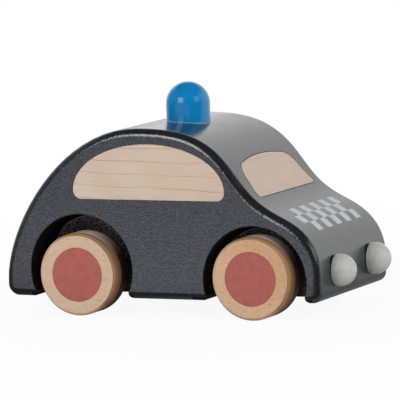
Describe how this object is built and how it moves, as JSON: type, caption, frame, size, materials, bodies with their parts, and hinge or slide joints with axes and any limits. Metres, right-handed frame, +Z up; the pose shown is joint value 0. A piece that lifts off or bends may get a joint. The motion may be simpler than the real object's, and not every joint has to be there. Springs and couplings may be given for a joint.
{
  "type": "toy police car",
  "caption": "Wooden push-along toy police car: a rounded lacquered body with bare wooden windows, a domed roof lamp, half-ball headlights and wheelsets that roll in wheel pockets.",
  "frame": {"origin": "on the ground under the middle of the whole car, headlights included", "axes": "+X towards the nose, +Y to the left of the car, +Z up"},
  "size_m": [0.18, 0.102, 0.1128],
  "materials": {
    "charcoal_lacquer": "charcoal satin-gloss lacquer over wood",
    "bare_wood": "bare pale wood, fine straight grain",
    "beech": "bare turned beech",
    "red_paint": "matt red paint on wood",
    "blue_gloss_paint": "gloss blue paint on turned wood",
    "grey_satin_paint": "satin light grey paint on turned wood",
    "steel": "plain drawn steel rod"
  },
  "bodies": {
    "car_body": {"body_core": "charcoal_lacquer", "right_side_board": "charcoal_lacquer", "left_side_board": "charcoal_lacquer", "windscreen": "bare_wood", "rear_window": "bare_wood", "right_side_window": "bare_wood", "left_side_window": "bare_wood", "roof_lamp": "blue_gloss_paint", "roof_lamp_dowel": "beech", "right_headlight": "grey_satin_paint", "left_headlight": "grey_satin_paint", "right_headlight_dowel": "beech", "left_headlight_dowel": "beech"},
    "front_wheelset": {"front_axle": "steel", "front_right_wheel": "beech", "front_left_wheel": "beech", "front_right_hub_disc": "red_paint", "front_left_hub_disc": "red_paint"},
    "rear_wheelset": {"rear_axle": "steel", "rear_right_wheel": "beech", "rear_left_wheel": "beech", "rear_right_hub_disc": "red_paint", "rear_left_hub_disc": "red_paint"}
  },
  "joints": [
    {"name": "front_wheelset_roll", "type": "hinge", "parent": "car_body", "child": "front_wheelset", "pos_m": [0.0454, 0, 0.0206], "axis": [0, 1, 0], "continuous": true},
    {"name": "rear_wheelset_roll", "type": "hinge", "parent": "car_body", "child": "rear_wheelset", "pos_m": [-0.0481, 0, 0.0206], "axis": [0, 1, 0], "continuous": true}
  ]
}
